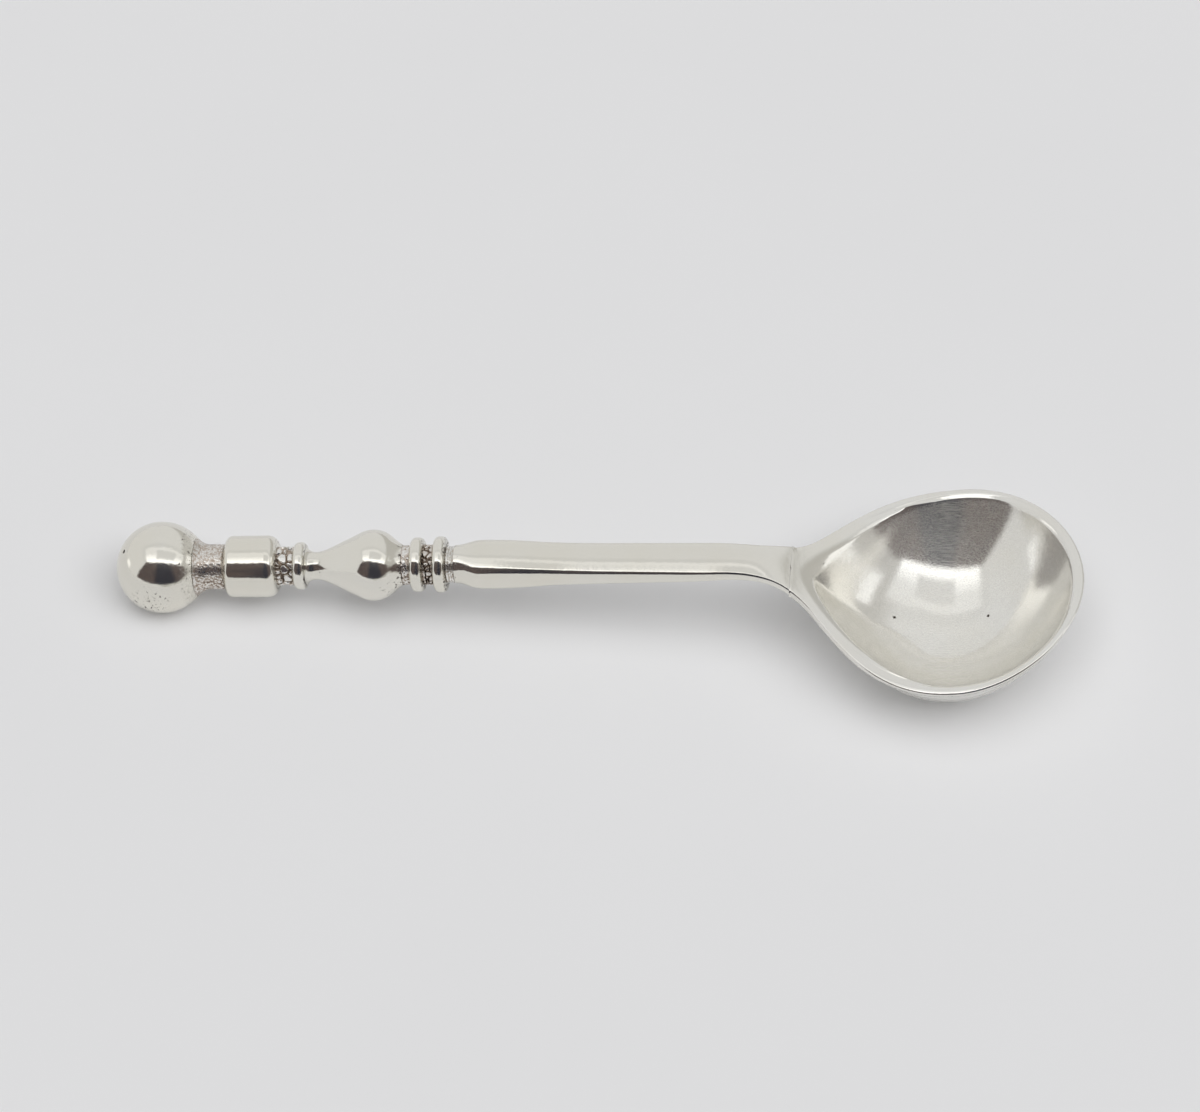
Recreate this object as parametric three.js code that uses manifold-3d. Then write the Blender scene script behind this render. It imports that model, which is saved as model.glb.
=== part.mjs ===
// Small silver condiment spoon.
// A raised bowl is soldered to a forged stem. Between the stem and the ball finial, turned
// beads, rings and necks are threaded on a wire pin and soldered to each other.
// Millimetres. +X runs from the ball finial to the tip of the bowl, and +Z is up.

import * as THREE from 'three';
import { mergeVertices } from 'three/addons/utils/BufferGeometryUtils.js';
import Module from 'manifold-3d';

const wasm = await Module();
wasm.setup();

// Joints between the pieces
const SOLDER_SEAM = 0.05;
const PIN_DIAMETER = 1.2;
const PIN_CLEARANCE = 0.05;
const PIN_CHAMFER = 0.15;
const PIN_END_GAP = 0.2;
const PIN_DEPTH_IN_BALL = 3.2;
const PIN_DEPTH_IN_STEM = 4.0;

// Ball finial
const BALL_DIAMETER = 7.1;
const BALL_SEAT_DIAMETER = 4.5;
const BALL_REST_DIAMETER = 2.0;
const HANDLE_PITCH = THREE.MathUtils.degToRad(6.4);

// Necks: the rough pieces between the polished ones
const BALL_NECK_LENGTH = 2.3;
const BALL_NECK_DIAMETER = 3.5;
const BALL_NECK_FLARE = 1.0;
const BARREL_NECK_LENGTH = 1.2;
const BARREL_NECK_DIAMETER = 3.0;
const KNOP_NECK_LENGTH = 0.6;
const KNOP_NECK_DIAMETER = 3.06;
const RING_NECK_LENGTH = 0.75;
const RING_NECK_DIAMETER = 3.1;
const STEM_NECK_LENGTH = 0.6;
const STEM_NECK_DIAMETER = 2.87;
const NECK_HOLLOW = 0.1;

// Barrel bead
const BARREL_LENGTH = 4.0;
const BARREL_DIAMETER = 4.77;
const BARREL_BALL_EDGE = 0.5;
const BARREL_KNOP_EDGE = 0.8;

// Rings
const WAIST_RING_LENGTH = 0.9;
const WAIST_RING_DIAMETER = 3.67;
const UPPER_RING_LENGTH = 0.95;
const UPPER_RING_DIAMETER = 4.2;
const LOWER_RING_LENGTH = 0.9;
const LOWER_RING_DIAMETER = 4.34;
const RING_EDGE = 0.38;

// Knop: a double cone with a rounded crown and a thin waist
const KNOP_LENGTH = 7.5;
const KNOP_DIAMETER = 5.5;
const KNOP_CROWN_PLACE = 5.2;
const KNOP_CROWN_RADIUS = 2.2;
const KNOP_WAIST_DIAMETER = 2.1;
const KNOP_WAIST_LENGTH = 1.15;
const KNOP_SEAT_DIAMETER = 2.9;
const KNOP_END_DIAMETER = 3.1;

// Stem, measured level from its shoulder to its joint with the bowl
const STEM_LENGTH = 25.7;
const STEM_BEND_LENGTH = 8.0;
const STEM_BEND_EASE = 1 / 3;
const SHOULDER_LENGTH = 1.9;
const SHOULDER_FACE_DIAMETER = 2.9;
const SHOULDER_WIDTH = 3.65;
const SHOULDER_THICKNESS = 2.9;
const SHOULDER_CORNER = 1.25;
const MIDDLE_PLACE = 9.0;
const MIDDLE_WIDTH = 3.25;
const MIDDLE_THICKNESS = 1.95;
const MIDDLE_CORNER = 0.56;
const WRIST_PLACE = 19.0;
const WRIST_WIDTH = 3.25;
const WRIST_THICKNESS = 1.35;
const WRIST_CORNER = 0.38;
const ROOT_WIDTH = 4.45;
const ROOT_THICKNESS = 0.75;
const ROOT_CORNER = 0.25;
const ROOT_KEEL = 0.45;
const KEEL_FADE = 4;

// Bowl, measured level from its joint with the stem
const BOWL_LENGTH = 22.35;
const BOWL_WIDTH = 20.5;
const BOWL_WIDEST_PLACE = 12.9;
const BOWL_MIDDLE_PLACE = 11.9;
const BOWL_WALL_SLOPE = THREE.MathUtils.degToRad(52);
const BOWL_BOTTOM_WALL = 0.65;
const BOWL_REST_DIAMETER = 4.4;
const RIM_WIDTH = 0.75;
const RIM_EDGE_HEIGHT = 0.35;
const ROOT_HEIGHT = 8.0;
const ROOT_SLOPE = Math.tan(THREE.MathUtils.degToRad(-27));
const ROOT_FLARE = Math.tan(THREE.MathUtils.degToRad(22));
const TIP_HEIGHT = 8.7;
const TIP_SLOPE = Math.tan(THREE.MathUtils.degToRad(10));
const HOLLOW_START = 0.5;
const HEEL_LENGTH = 12.3;
const HEEL_EDGE_SHARE = 0.88;
const HEEL_WALL_SLOPE = THREE.MathUtils.degToRad(50);
const HEEL_ROUNDING = 3.0;

// Handles of the curves that draw the bowl's outline
const ROOT_REACH = 3.2;
const WIDEST_REACH_BACK = 7.9;
const WIDEST_REACH_FRONT = 5.0;
const TIP_REACH = 5.2;
const HOLLOW_NOSE_REACH = 1.8;
const HOLLOW_REACH_BACK = 7.0;

// Fineness of the round surfaces
const ROUND_SIDES = 24;
const ARC_STEPS = 3;
const CORNER_STEPS = 4;
const KEEL_STEPS = 6;
const STEM_STEPS = 24;
const OUTLINE_STEPS = 12;
const WALL_STEPS = 8;
const ROOT_FACE_STEPS = 4;
const CUT_CLEARANCE = 1.0;
const LARGEST_CORNER = 0.45;
const STEEPEST_SINE = 0.999;
const MERGE_DISTANCE = 1e-4;

const POLISHED = { color: 0xd8d6cc, roughness: 0.12, metalness: 1 };
const OXIDISED = { color: 0x8d8272, roughness: 0.5, metalness: 1 };
const WIRE = { color: 0xc9c6bb, roughness: 0.3, metalness: 1 };

const pinRadius = PIN_DIAMETER / 2;
const boreRadius = pinRadius + PIN_CLEARANCE;
const spoon = new THREE.Group();

function mix(from, to, share) {
  return from + (to - from) * share;
}

// Cubic between two values, with a set slope at each end
function cubic(from, to, fromSlope, toSlope, length, share) {
  const rest = 1 - share;
  const fromStart = from * (1 + 2 * share) + fromSlope * length * share;
  const fromEnd = to * (1 + 2 * rest) - toSlope * length * rest;
  return fromStart * rest ** 2 + fromEnd * share ** 2;
}

function named(name, geometry, finish) {
  const mesh = new THREE.Mesh(geometry, new THREE.MeshStandardMaterial(finish));
  mesh.name = name;
  return mesh;
}

// Closed mesh as a solid that can be cut
function solid(geometry) {
  const bare = new THREE.BufferGeometry();
  bare.setAttribute('position', geometry.getAttribute('position').clone());
  bare.setIndex(geometry.getIndex().clone());
  const merged = mergeVertices(bare, MERGE_DISTANCE);
  const mesh = new wasm.Mesh({
    numProp: 3,
    vertProperties: new Float32Array(merged.getAttribute('position').array),
    triVerts: new Uint32Array(merged.getIndex().array),
  });
  mesh.merge();
  return new wasm.Manifold(mesh);
}

function cut(geometry, cutter) {
  const mesh = solid(geometry).subtract(solid(cutter)).getMesh();
  const result = new THREE.BufferGeometry();
  result.setAttribute('position', new THREE.BufferAttribute(mesh.vertProperties, 3));
  result.setIndex(new THREE.BufferAttribute(mesh.triVerts, 1));
  result.computeVertexNormals();
  return result;
}

// Moves every vertex of a geometry to where place(vertex) puts it
function warp(geometry, place) {
  const position = geometry.getAttribute('position');
  const vertex = new THREE.Vector3();
  for (let i = 0; i < position.count; i += 1) {
    vertex.fromBufferAttribute(position, i);
    const moved = place(vertex);
    position.setXYZ(i, moved.x, moved.y, moved.z);
  }
  return geometry;
}

// Number of the side that a vertex of a turned mesh belongs to
function sideOf(vertex, sides) {
  const turn = Math.atan2(vertex.x, vertex.z) / (2 * Math.PI);
  return (Math.round(turn * sides) + sides) % sides;
}

// Turned pieces. A profile holds radius and distance along the handle.

function turned(profile) {
  const lathe = new THREE.LatheGeometry(profile.getPoints(ARC_STEPS), ROUND_SIDES);
  return lathe.rotateZ(-Math.PI / 2);
}

function boredProfile(length, drawOutside) {
  const profile = new THREE.Path();
  profile.moveTo(boreRadius, 0);
  drawOutside(profile);
  profile.lineTo(boreRadius, length);
  profile.closePath();
  return profile;
}

// Bead or ring: a straight crown with rounded edges
function bead(length, diameter, firstEdge, lastEdge) {
  const radius = diameter / 2;
  return boredProfile(length, (profile) => {
    profile.lineTo(radius - firstEdge, 0);
    profile.absarc(radius - firstEdge, firstEdge, firstEdge, -Math.PI / 2, 0);
    profile.absarc(radius - lastEdge, length - lastEdge, lastEdge, 0, Math.PI / 2);
  });
}

function ring(length, diameter) {
  return bead(length, diameter, RING_EDGE, RING_EDGE);
}

function barrel() {
  return bead(BARREL_LENGTH, BARREL_DIAMETER, BARREL_BALL_EDGE, BARREL_KNOP_EDGE);
}

// Neck: a short piece, slightly hollowed between its two faces
function neck(length, diameter) {
  const radius = diameter / 2;
  return boredProfile(length, (profile) => {
    profile.lineTo(radius, 0);
    profile.quadraticCurveTo(radius - 2 * NECK_HOLLOW, length / 2, radius, length);
  });
}

function ballNeck() {
  const radius = BALL_NECK_DIAMETER / 2;
  return boredProfile(BALL_NECK_LENGTH, (profile) => {
    profile.lineTo(BALL_SEAT_DIAMETER / 2, 0);
    profile.quadraticCurveTo(radius, BALL_NECK_FLARE / 2, radius, BALL_NECK_FLARE);
    profile.lineTo(radius, BALL_NECK_LENGTH);
  });
}

function knop() {
  const crown = KNOP_DIAMETER / 2;
  const waist = KNOP_WAIST_DIAMETER / 2;
  const end = KNOP_END_DIAMETER / 2;
  const frontSlope = Math.atan2(crown - waist, KNOP_CROWN_PLACE - KNOP_WAIST_LENGTH);
  const backSlope = Math.atan2(crown - end, KNOP_LENGTH - KNOP_CROWN_PLACE);
  const crownCentre = crown - KNOP_CROWN_RADIUS;
  return boredProfile(KNOP_LENGTH, (profile) => {
    profile.lineTo(KNOP_SEAT_DIAMETER / 2, 0);
    profile.quadraticCurveTo(waist, 0, waist, KNOP_WAIST_LENGTH / 2);
    profile.lineTo(waist, KNOP_WAIST_LENGTH);
    profile.absarc(crownCentre, KNOP_CROWN_PLACE, KNOP_CROWN_RADIUS, -frontSlope, backSlope);
    profile.lineTo(end, KNOP_LENGTH);
  });
}

// Ball finial, with the pin's blind hole and the worn flat that it rests on
const ballRadius = BALL_DIAMETER / 2;
const ballSeatPlace = Math.sqrt(ballRadius ** 2 - (BALL_SEAT_DIAMETER / 2) ** 2);
const ballHeight = Math.sqrt(ballRadius ** 2 - (BALL_REST_DIAMETER / 2) ** 2);

function ball() {
  const seatAngle = Math.atan2(ballSeatPlace, BALL_SEAT_DIAMETER / 2);
  const profile = new THREE.Path();
  profile.absarc(0, 0, ballRadius, -Math.PI / 2, 0);
  profile.absarc(0, 0, ballRadius, 0, seatAngle);
  profile.lineTo(boreRadius, ballSeatPlace);
  profile.lineTo(boreRadius, ballSeatPlace - PIN_DEPTH_IN_BALL);
  profile.lineTo(0, ballSeatPlace - PIN_DEPTH_IN_BALL);
  const floor = new THREE.BoxGeometry(BALL_DIAMETER, BALL_DIAMETER, BALL_DIAMETER);
  floor.translate(0, 0, -ballHeight - ballRadius);
  floor.rotateY(HANDLE_PITCH);
  return cut(turned(profile), floor);
}

// The handle: its axis starts at the ball's centre and rises towards the bowl
const handle = new THREE.Group();
handle.position.z = ballHeight;
handle.rotation.y = -HANDLE_PITCH;
spoon.add(handle);
handle.add(named('ball_finial', ball(), POLISHED));

const stack = [
  ['ball_neck', BALL_NECK_LENGTH, ballNeck(), OXIDISED],
  ['barrel', BARREL_LENGTH, barrel(), POLISHED],
  ['barrel_neck', BARREL_NECK_LENGTH, neck(BARREL_NECK_LENGTH, BARREL_NECK_DIAMETER), OXIDISED],
  ['waist_ring', WAIST_RING_LENGTH, ring(WAIST_RING_LENGTH, WAIST_RING_DIAMETER), POLISHED],
  ['knop', KNOP_LENGTH, knop(), POLISHED],
  ['knop_neck', KNOP_NECK_LENGTH, neck(KNOP_NECK_LENGTH, KNOP_NECK_DIAMETER), OXIDISED],
  ['upper_ring', UPPER_RING_LENGTH, ring(UPPER_RING_LENGTH, UPPER_RING_DIAMETER), POLISHED],
  ['ring_neck', RING_NECK_LENGTH, neck(RING_NECK_LENGTH, RING_NECK_DIAMETER), OXIDISED],
  ['lower_ring', LOWER_RING_LENGTH, ring(LOWER_RING_LENGTH, LOWER_RING_DIAMETER), POLISHED],
  ['stem_neck', STEM_NECK_LENGTH, neck(STEM_NECK_LENGTH, STEM_NECK_DIAMETER), OXIDISED],
];

let nextFace = ballSeatPlace + SOLDER_SEAM;
for (const [name, length, profile, finish] of stack) {
  const piece = named(name, turned(profile), finish);
  piece.position.x = nextFace;
  handle.add(piece);
  nextFace += length + SOLDER_SEAM;
}

// Core pin, from the bottom of the ball's hole to the bottom of the stem's hole
const pinStart = ballSeatPlace - PIN_DEPTH_IN_BALL + PIN_END_GAP;
const pinLength = nextFace + PIN_DEPTH_IN_STEM - PIN_END_GAP - pinStart;
const pinProfile = new THREE.Path();
pinProfile.moveTo(0, 0);
pinProfile.lineTo(pinRadius - PIN_CHAMFER, 0);
pinProfile.lineTo(pinRadius, PIN_CHAMFER);
pinProfile.lineTo(pinRadius, pinLength - PIN_CHAMFER);
pinProfile.lineTo(pinRadius - PIN_CHAMFER, pinLength);
pinProfile.lineTo(0, pinLength);
const corePin = named('core_pin', turned(pinProfile), WIRE);
corePin.position.x = pinStart;
handle.add(corePin);

// Places along the spoon, level from the ball's centre
const stemStart = new THREE.Vector2(
  nextFace * Math.cos(HANDLE_PITCH),
  nextFace * Math.sin(HANDLE_PITCH) + ballHeight,
);
const stemEnd = stemStart.x + STEM_LENGTH;
const bowlStart = stemEnd + SOLDER_SEAM;
const widestPlace = bowlStart + BOWL_WIDEST_PLACE;
const tipPlace = bowlStart + BOWL_LENGTH;

// Height of the rim: a cubic with set heights and slopes at the root and at the tip
function rimHeight(x) {
  const share = (x - bowlStart) / BOWL_LENGTH;
  return cubic(ROOT_HEIGHT, TIP_HEIGHT, ROOT_SLOPE, TIP_SLOPE, BOWL_LENGTH, share);
}

// Stem: rounded rectangles along a line that bends down into the bowl
function stemCentreLine() {
  const bendStart = new THREE.Vector2(stemEnd - STEM_BEND_LENGTH, 0);
  bendStart.y = stemStart.y + (bendStart.x - stemStart.x) * Math.tan(HANDLE_PITCH);
  const root = new THREE.Vector2(stemEnd, rimHeight(stemEnd) - ROOT_THICKNESS / 2);
  const reach = STEM_BEND_LENGTH * STEM_BEND_EASE;
  const line = new THREE.Path();
  line.moveTo(stemStart.x, stemStart.y);
  line.lineTo(bendStart.x, bendStart.y);
  line.bezierCurveTo(
    bendStart.x + reach, bendStart.y + reach * Math.tan(HANDLE_PITCH),
    root.x - reach, root.y - reach * ROOT_SLOPE,
    root.x, root.y,
  );
  return line;
}

const faceRadius = SHOULDER_FACE_DIAMETER / 2;
const stemSections = [
  { place: 0, size: [SHOULDER_FACE_DIAMETER, SHOULDER_FACE_DIAMETER, faceRadius, 0] },
  { place: SHOULDER_LENGTH, size: [SHOULDER_WIDTH, SHOULDER_THICKNESS, SHOULDER_CORNER, 0] },
  { place: MIDDLE_PLACE, size: [MIDDLE_WIDTH, MIDDLE_THICKNESS, MIDDLE_CORNER, 0] },
  { place: WRIST_PLACE, size: [WRIST_WIDTH, WRIST_THICKNESS, WRIST_CORNER, 0] },
  { place: STEM_LENGTH, size: [ROOT_WIDTH, ROOT_THICKNESS, ROOT_CORNER, ROOT_KEEL] },
];

// How fast a measure changes after a section
function stemChange(section, measure) {
  const [from, to] = [stemSections[section], stemSections[section + 1]];
  return (to.size[measure] - from.size[measure]) / (to.place - from.place);
}

// Slope of a measure at a section: level at the shoulder's face and where the measure turns
function stemSlope(section, measure) {
  if (section === 0) {
    return 0;
  }
  const before = stemChange(section - 1, measure);
  if (section === stemSections.length - 1) {
    return measure === 0 ? 2 * ROOT_FLARE : before;
  }
  const after = stemChange(section, measure);
  return before * after > 0 ? 2 * before * after / (before + after) : 0;
}

// Width, edge thickness, corner radius and keel depth at a place along the stem
function stemSize(place) {
  let next = 1;
  while (next < stemSections.length - 1 && place > stemSections[next].place) {
    next += 1;
  }
  const [from, to] = [stemSections[next - 1], stemSections[next]];
  const length = to.place - from.place;
  const share = (place - from.place) / length;
  return from.size.map((value, measure) => {
    const slopes = [stemSlope(next - 1, measure), stemSlope(next, measure)];
    return cubic(value, to.size[measure], ...slopes, length, share);
  });
}

// Depth of the rounded keel below a flat underside, from its middle, 0, to its edge, 1 or -1
function keelDepth(share, keel) {
  return keel * (1 - share ** 2);
}

// Outline of a section: a rounded rectangle with a keel below, counted from its +Y side over its top
function sectionOutline([width, thickness, wantedCorner, keel]) {
  const corner = Math.min(wantedCorner, LARGEST_CORNER * Math.min(width, thickness));
  const right = width / 2 - corner;
  const top = thickness / 2 - corner;
  const points = [];
  [[right, top], [-right, top], [-right, -top], [right, -top]].forEach(([across, up], quarter) => {
    for (let step = 0; step <= CORNER_STEPS; step += 1) {
      const angle = (quarter + step / CORNER_STEPS) * Math.PI / 2;
      points.push(new THREE.Vector2(across + corner * Math.cos(angle), up + corner * Math.sin(angle)));
    }
    if (quarter === 2) {
      for (let step = 1; step < KEEL_STEPS; step += 1) {
        const share = mix(-1, 1, step / KEEL_STEPS);
        points.push(new THREE.Vector2(right * share, -thickness / 2 - keelDepth(share, keel)));
      }
    }
  });
  return points;
}

function stem() {
  const line = stemCentreLine();
  const sections = [];
  for (let step = 0; step <= STEM_STEPS; step += 1) {
    const share = step / STEM_STEPS;
    const centre = line.getPointAt(share);
    const outline = sectionOutline(stemSize(centre.x - stemStart.x));
    sections.push({ centre, outline, lean: mix(HANDLE_PITCH, 0, share) });
  }
  const sides = sections[0].outline.length;
  const bar = new THREE.CylinderGeometry(1, 1, 1, sides, STEM_STEPS);
  warp(bar, (vertex) => {
    const { centre, outline, lean } = sections[Math.round((vertex.y + 0.5) * STEM_STEPS)];
    const point = outline[sideOf(vertex, sides)].clone();
    point.multiplyScalar(Math.round(Math.hypot(vertex.x, vertex.z)));
    return new THREE.Vector3(
      centre.x - point.y * Math.sin(lean),
      point.x,
      centre.y + point.y * Math.cos(lean),
    );
  });
  const hole = new THREE.CylinderGeometry(boreRadius, boreRadius, 2 * PIN_DEPTH_IN_STEM, ROUND_SIDES);
  hole.rotateZ(-Math.PI / 2);
  hole.rotateY(-HANDLE_PITCH);
  hole.translate(stemStart.x, 0, stemStart.y);
  return cut(bar, hole);
}

// Bowl: a shell between an outer form and a hollow, both drawn round one middle point
const bowlMiddle = new THREE.Vector2(bowlStart + BOWL_MIDDLE_PLACE, 0);

// Closed outline, seen from above and counted from the near side of the root
function outerOutline() {
  const half = BOWL_WIDTH / 2;
  const root = ROOT_WIDTH / 2;
  const spread = ROOT_REACH * ROOT_FLARE;
  const outline = new THREE.Shape();
  outline.moveTo(bowlStart, -root);
  outline.bezierCurveTo(
    bowlStart + ROOT_REACH, -root - spread, widestPlace - WIDEST_REACH_BACK, -half, widestPlace, -half,
  );
  outline.bezierCurveTo(widestPlace + WIDEST_REACH_FRONT, -half, tipPlace, -TIP_REACH, tipPlace, 0);
  outline.bezierCurveTo(tipPlace, TIP_REACH, widestPlace + WIDEST_REACH_FRONT, half, widestPlace, half);
  outline.bezierCurveTo(
    widestPlace - WIDEST_REACH_BACK, half, bowlStart + ROOT_REACH, root + spread, bowlStart, root,
  );
  for (let step = 1; step < ROOT_FACE_STEPS; step += 1) {
    outline.lineTo(bowlStart, mix(root, -root, step / ROOT_FACE_STEPS));
  }
  return outline.getPoints(OUTLINE_STEPS);
}

function hollowOutline() {
  const half = BOWL_WIDTH / 2 - RIM_WIDTH;
  const nose = bowlStart + HOLLOW_START;
  const tip = tipPlace - RIM_WIDTH;
  const outline = new THREE.Shape();
  outline.moveTo(nose, 0);
  outline.bezierCurveTo(
    nose, -HOLLOW_NOSE_REACH, widestPlace - HOLLOW_REACH_BACK, -half, widestPlace, -half,
  );
  outline.bezierCurveTo(widestPlace + WIDEST_REACH_FRONT, -half, tip, -TIP_REACH, tip, 0);
  outline.bezierCurveTo(tip, TIP_REACH, widestPlace + WIDEST_REACH_FRONT, half, widestPlace, half);
  outline.bezierCurveTo(widestPlace - HOLLOW_REACH_BACK, half, nose, HOLLOW_NOSE_REACH, nose, 0);
  const points = outline.getPoints(OUTLINE_STEPS);
  points.pop();
  return points;
}

// 1 at the root of the bowl, easing to 0 where the heel ends
function heelShare(x) {
  return 1 - THREE.MathUtils.smootherstep(x, bowlStart, bowlStart + HEEL_LENGTH);
}

// Height of a wall between the bottom of the bowl and a point of its rim. Beyond the flat spot the
// wall is round. At the heel it ends short of the rim and rounds over onto the land, which slopes
// down from the stem. The wall's edge and the land lie below the rim by a drop each.
function wallHeight(share, rimPoint, bottom, flatShare, edgeDrop, landDrop) {
  const heel = heelShare(rimPoint.x);
  const edge = mix(1, HEEL_EDGE_SHARE, heel);
  const steep = Math.sin(mix(BOWL_WALL_SLOPE, HEEL_WALL_SLOPE, heel));
  const climb = Math.max(0, share - flatShare) / (1 - flatShare);
  const sine = Math.min(STEEPEST_SINE, steep * climb / edge);
  const rise = (1 - Math.sqrt(1 - sine ** 2)) / (1 - Math.sqrt(1 - steep ** 2));
  const edgeHeight = rimHeight(mix(bowlMiddle.x, rimPoint.x, edge)) - edgeDrop;
  const wall = mix(bottom, edgeHeight, rise);
  if (heel === 0) {
    return wall;
  }
  const land = rimHeight(mix(bowlMiddle.x, rimPoint.x, share)) - landDrop;
  const rounding = HEEL_ROUNDING * heel;
  const near = Math.max(0, 1 - Math.abs(wall - land) / rounding);
  return Math.min(wall, land) - rounding * near ** 3 / 6;
}

// Turned blank whose sides follow an outline. height(share, rimPoint, point, upper) gives Z.
function outlinedForm(outline, flatShare, height) {
  const profile = [new THREE.Vector2(0, 0)];
  for (let step = 0; step <= WALL_STEPS; step += 1) {
    profile.push(new THREE.Vector2(mix(flatShare, 1, step / WALL_STEPS), 0));
  }
  for (const share of [1, 1 - RIM_WIDTH / (BOWL_WIDTH / 2), 0]) {
    profile.push(new THREE.Vector2(share, 1));
  }
  const blank = new THREE.LatheGeometry(profile, outline.length);
  return warp(blank, (vertex) => {
    const share = Math.hypot(vertex.x, vertex.z);
    const rimPoint = outline[sideOf(vertex, outline.length)];
    const point = rimPoint.clone().sub(bowlMiddle).multiplyScalar(share).add(bowlMiddle);
    return new THREE.Vector3(point.x, point.y, height(share, rimPoint, point, vertex.y > 0));
  });
}

function bowl() {
  const flatShare = BOWL_REST_DIAMETER / BOWL_WIDTH;
  const outer = outlinedForm(outerOutline(), flatShare, (share, rimPoint, point, upper) => {
    if (upper) {
      return rimHeight(point.x);
    }
    const onRootFace = Math.abs(rimPoint.y) < ROOT_WIDTH / 2;
    const keel = onRootFace ? keelDepth(2 * rimPoint.y / ROOT_WIDTH, ROOT_KEEL) : 0;
    const edgeDrop = mix(RIM_EDGE_HEIGHT, ROOT_THICKNESS, heelShare(rimPoint.x));
    return wallHeight(share, rimPoint, 0, flatShare, edgeDrop, edgeDrop + keel * share ** KEEL_FADE);
  });
  const hollow = outlinedForm(hollowOutline(), flatShare, (share, rimPoint, point, upper) => {
    if (upper) {
      return rimHeight(rimPoint.x) + CUT_CLEARANCE;
    }
    return wallHeight(share, rimPoint, BOWL_BOTTOM_WALL, 0, 0, 0);
  });
  return cut(outer, hollow);
}

spoon.add(named('stem', stem(), POLISHED));
spoon.add(named('bowl', bowl(), POLISHED));

// Origin below the middle of the spoon, on the surface that it rests on
spoon.position.x = (ballRadius - tipPlace) / 2;

export default spoon;
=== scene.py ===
# Small condiment spoon in silver: a raised bowl, a forged stem and a turned handle with a ball finial.
# Every CAD solid that shows gets a finer piece of its own here. Modelling is in millimetres, and
# each finished mesh is turned to metres in place.
import math
from functools import partial
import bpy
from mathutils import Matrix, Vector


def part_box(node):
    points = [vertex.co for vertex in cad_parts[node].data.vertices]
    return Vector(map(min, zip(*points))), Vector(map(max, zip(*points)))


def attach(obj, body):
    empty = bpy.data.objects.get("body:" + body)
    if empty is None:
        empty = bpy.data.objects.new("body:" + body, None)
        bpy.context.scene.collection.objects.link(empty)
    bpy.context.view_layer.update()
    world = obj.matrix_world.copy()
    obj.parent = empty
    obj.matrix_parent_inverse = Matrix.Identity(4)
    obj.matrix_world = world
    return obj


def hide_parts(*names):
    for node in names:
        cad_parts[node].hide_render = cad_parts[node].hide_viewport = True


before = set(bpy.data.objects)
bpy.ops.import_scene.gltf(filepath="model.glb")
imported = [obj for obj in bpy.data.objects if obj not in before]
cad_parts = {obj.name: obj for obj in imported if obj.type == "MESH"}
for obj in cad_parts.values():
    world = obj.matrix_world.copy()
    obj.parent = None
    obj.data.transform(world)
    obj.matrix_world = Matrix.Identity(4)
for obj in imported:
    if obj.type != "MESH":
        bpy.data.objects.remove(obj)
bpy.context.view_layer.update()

from types import SimpleNamespace

import bmesh
import bpy
from bpy.props import FloatProperty, FloatVectorProperty, PointerProperty
from mathutils import Matrix, Vector, noise
from mathutils.geometry import interpolate_bezier

bl_info = {
    "name": "Silver condiment spoon",
    "version": (1, 0, 0),
    "blender": (4, 5, 0),
    "location": "View3D > Sidebar > Spoon",
    "description": "Builds the pieces, finishes and stage of a small silver condiment spoon",
    "category": "Add Mesh",
}

MM = 0.001

# Fineness of the meshes
SPIN_STEPS = 160
ARC_STEPS = 10
NECK_ROWS = 36
STEM_ROWS = 150
CORNER_STEPS = 8
FLAT_STEPS = 10
FACE_STEPS = 6
SIDE_STEPS = 56
HOLLOW_ROWS = 64
WALL_ROWS = 44
EDGE_STEPS = 4
SHARP_ANGLE = math.radians(40)
MERGE_DISTANCE = 1e-5
ON_PLANE = 1e-4

# Fine form and finish, in millimetres where they are lengths
HAIRLINE = 0.012
HANDLE_WEAR = 0.12
CROWN_LIFT = 0.4
CROWN_FADE = 0.88
STEEPEST_SINE = 0.999
LAND_FADE = 12
KEEL_FADE = 4
WALL_END = 0.985
RIM_START = 0.12
RIM_END = 0.8
RIM_UNDERCUT = math.radians(-50)
CONE_EASE = 2.5
CROWN_BACK = 42.0
KNOP_KNEE = 0.25
WAIST_LEAD, WAIST_TRAIL = 0.7, 0.8
STAIN_LIMIT = 0.66
DENT_DEPTH, DENT_REACH = 0.02, 0.35
GROOVE_SPACING = 0.2
SEAM_DEPTH, SEAM_REACH = 0.14, 0.2
NECK_END = 0.16
NOISE_SHIFT = Vector((20, 0, 0))
# Small dark pits in the hollow, from the middle of the bowl's root at floor level
HOLLOW_PITS = ((8.1, 1.05, 1.6), (15.3, 1.73, 1.62), (2.4, 1.8, 6.65), (6.9, -2.7, 3.0))


def length(label, description, millimetres):
    """A length for the sidebar, kept in metres."""
    return FloatProperty(
        name=label, description=description, default=millimetres * MM, unit="LENGTH", precision=5
    )


def angle(label, description, degrees):
    """An angle for the sidebar, kept in radians."""
    return FloatProperty(
        name=label, description=description, default=math.radians(degrees), subtype="ANGLE"
    )


def number(label, description, value):
    """A plain number for the sidebar."""
    return FloatProperty(name=label, description=description, default=value)


def linear(hex_colour):
    """Linear red, green and blue of an sRGB hex colour."""
    channels = [int(hex_colour[i:i + 2], 16) / 255 for i in (1, 3, 5)]
    return tuple(c / 12.92 if c <= 0.04045 else ((c + 0.055) / 1.055) ** 2.4 for c in channels)


def colour(label, description, hex_colour):
    """A colour for the sidebar."""
    return FloatVectorProperty(
        name=label, description=description, default=linear(hex_colour), subtype="COLOR", size=3,
        min=0, max=1,
    )


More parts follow.
